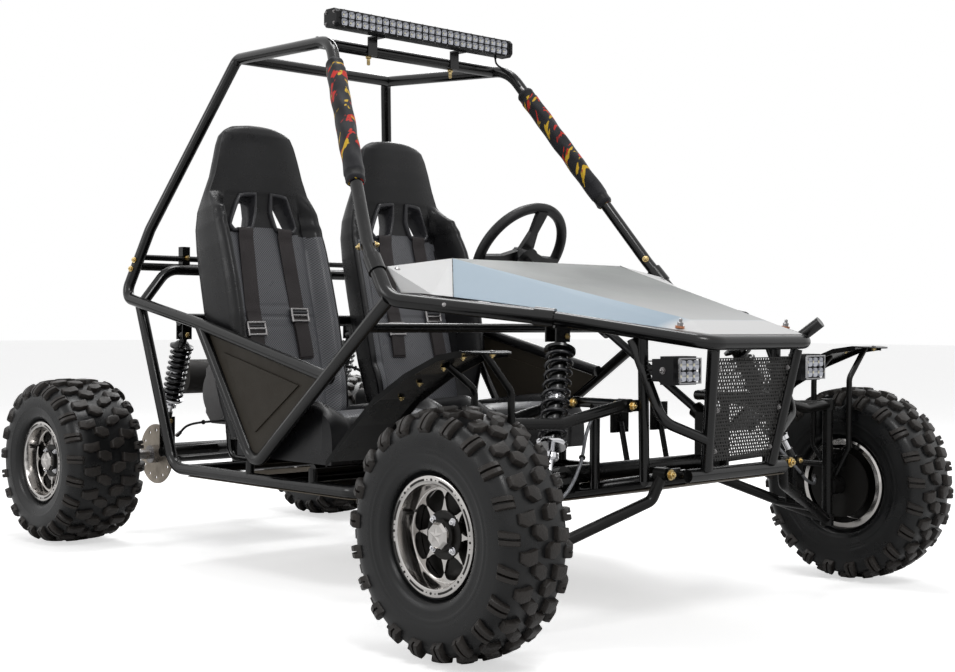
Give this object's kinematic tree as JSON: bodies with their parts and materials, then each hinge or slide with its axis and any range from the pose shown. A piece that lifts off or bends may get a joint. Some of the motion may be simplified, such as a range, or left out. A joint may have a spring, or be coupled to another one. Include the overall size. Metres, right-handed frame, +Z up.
{
  "type": "racing kart",
  "caption": "Two-seat off-road kart: tubular frame with bolted roll cage, bucket seats, hood, knobby tyres, coil-over suspension and roof light bar.",
  "frame": {"origin": "on the ground at mid-length and mid-width", "axes": "+Z up, front faces -Y, +X is the vehicle's left"},
  "size_m": [1.5448, 2.3575, 1.421],
  "materials": {
    "frame_paint": "satin black powder coat",
    "arm_paint": "satin black paint",
    "lamp_housing": "black anodised casting",
    "grille_sheet": "black perforated sheet",
    "hood_silver": "silver-grey gloss",
    "hood_gloss": "black gloss",
    "side_plastic": "dark grey textured plastic",
    "seat_vinyl": "black vinyl",
    "pad_foam": "black fabric over foam",
    "belt_web": "grey-brown webbing",
    "fender_plastic": "black plastic",
    "tyre_rubber": "knobby tyre",
    "rim_alloy": "machined and polished",
    "hub_iron": "black hub and disc",
    "pan_sheet": "pale sheet",
    "shock_steel": "chrome body, black springs",
    "engine_alloy": "cast alloy",
    "tank_plastic": "black moulded",
    "muffler_paint": "heat-proof black",
    "axle_steel": "machined steel",
    "disc_steel": "drilled disc",
    "wheel_grip": "black grip"
  },
  "bodies": {
    "chassis": {"main_frame": "frame_paint", "side_frame_right": "frame_paint", "side_frame_left": "frame_paint", "front_pillar_right": "frame_paint", "front_pillar_left": "frame_paint", "roof_hoop_right": "frame_paint", "roof_hoop_left": "frame_paint", "rear_stay_right": "frame_paint", "rear_stay_left": "frame_paint", "roof_bars": "frame_paint", "light_bar": "lamp_housing", "front_frame": "frame_paint", "grille": "grille_sheet", "hood_shell": "hood_silver", "hood_panel": "hood_gloss", "side_panel_right": "side_plastic", "side_panel_left": "side_plastic", "floor_pan": "pan_sheet", "seat_back_right": "seat_vinyl", "seat_back_left": "seat_vinyl", "seat_cushion_right": "seat_vinyl", "seat_cushion_left": "seat_vinyl", "roof_pad_right": "pad_foam", "roof_pad_left": "pad_foam", "upper_arms": "arm_paint", "lower_arms": "arm_paint", "front_shocks": "shock_steel", "rear_shocks": "shock_steel", "swing_arm": "arm_paint", "engine": "engine_alloy", "fuel_tank": "tank_plastic", "muffler": "muffler_paint", "column_support": "frame_paint", "seat_bar": "frame_paint", "rear_arch": "frame_paint", "harness_bars": "frame_paint", "rack": "arm_paint", "tie_rods": "arm_paint", "pedals": "arm_paint", "pod_lamps": "lamp_housing", "harness_right": "belt_web", "harness_left": "belt_web"},
    "knuckle_right": {"knuckle_right": "arm_paint", "fender_right": "fender_plastic"},
    "front_wheel_right": {"front_tyre_right": "tyre_rubber", "front_rim_right": "rim_alloy", "front_hub_right": "hub_iron"},
    "knuckle_left": {"knuckle_left": "arm_paint", "fender_left": "fender_plastic"},
    "front_wheel_left": {"front_tyre_left": "tyre_rubber", "front_rim_left": "rim_alloy", "front_hub_left": "hub_iron"},
    "rear_axle": {"rear_axle": "axle_steel", "rear_disc": "disc_steel", "sprocket": "axle_steel", "rear_tyre_right": "tyre_rubber", "rear_rim_right": "rim_alloy", "rear_tyre_left": "tyre_rubber", "rear_rim_left": "rim_alloy"},
    "steering": {"steering_wheel": "wheel_grip"}
  },
  "joints": [
    {"name": "steer_right", "type": "hinge", "parent": "chassis", "child": "knuckle_right", "pos_m": [-0.56, -0.94, 0.24154], "axis": [0, 0, 1], "range_deg": [-28, 28]},
    {"name": "front_spin_right", "type": "hinge", "parent": "knuckle_right", "child": "front_wheel_right", "pos_m": [-0.689, -0.94, 0.24154], "axis": [1, 0, 0], "continuous": true},
    {"name": "steer_left", "type": "hinge", "parent": "chassis", "child": "knuckle_left", "pos_m": [0.56, -0.94, 0.24154], "axis": [0, 0, 1], "range_deg": [-28, 28]},
    {"name": "front_spin_left", "type": "hinge", "parent": "knuckle_left", "child": "front_wheel_left", "pos_m": [0.689, -0.94, 0.24154], "axis": [1, 0, 0], "continuous": true},
    {"name": "rear_spin", "type": "hinge", "parent": "chassis", "child": "rear_axle", "pos_m": [0, 0.94, 0.23596], "axis": [1, 0, 0], "continuous": true},
    {"name": "steering_turn", "type": "hinge", "parent": "chassis", "child": "steering", "pos_m": [0.243, -0.177, 0.825], "axis": [0, 0.8387, 0.5446], "range_deg": [-100, 100]}
  ],
  "couplings": [
    {"joint": "steer_right", "follows": "steering_turn", "ratio": 0.28},
    {"joint": "steer_left", "follows": "steering_turn", "ratio": 0.28}
  ]
}
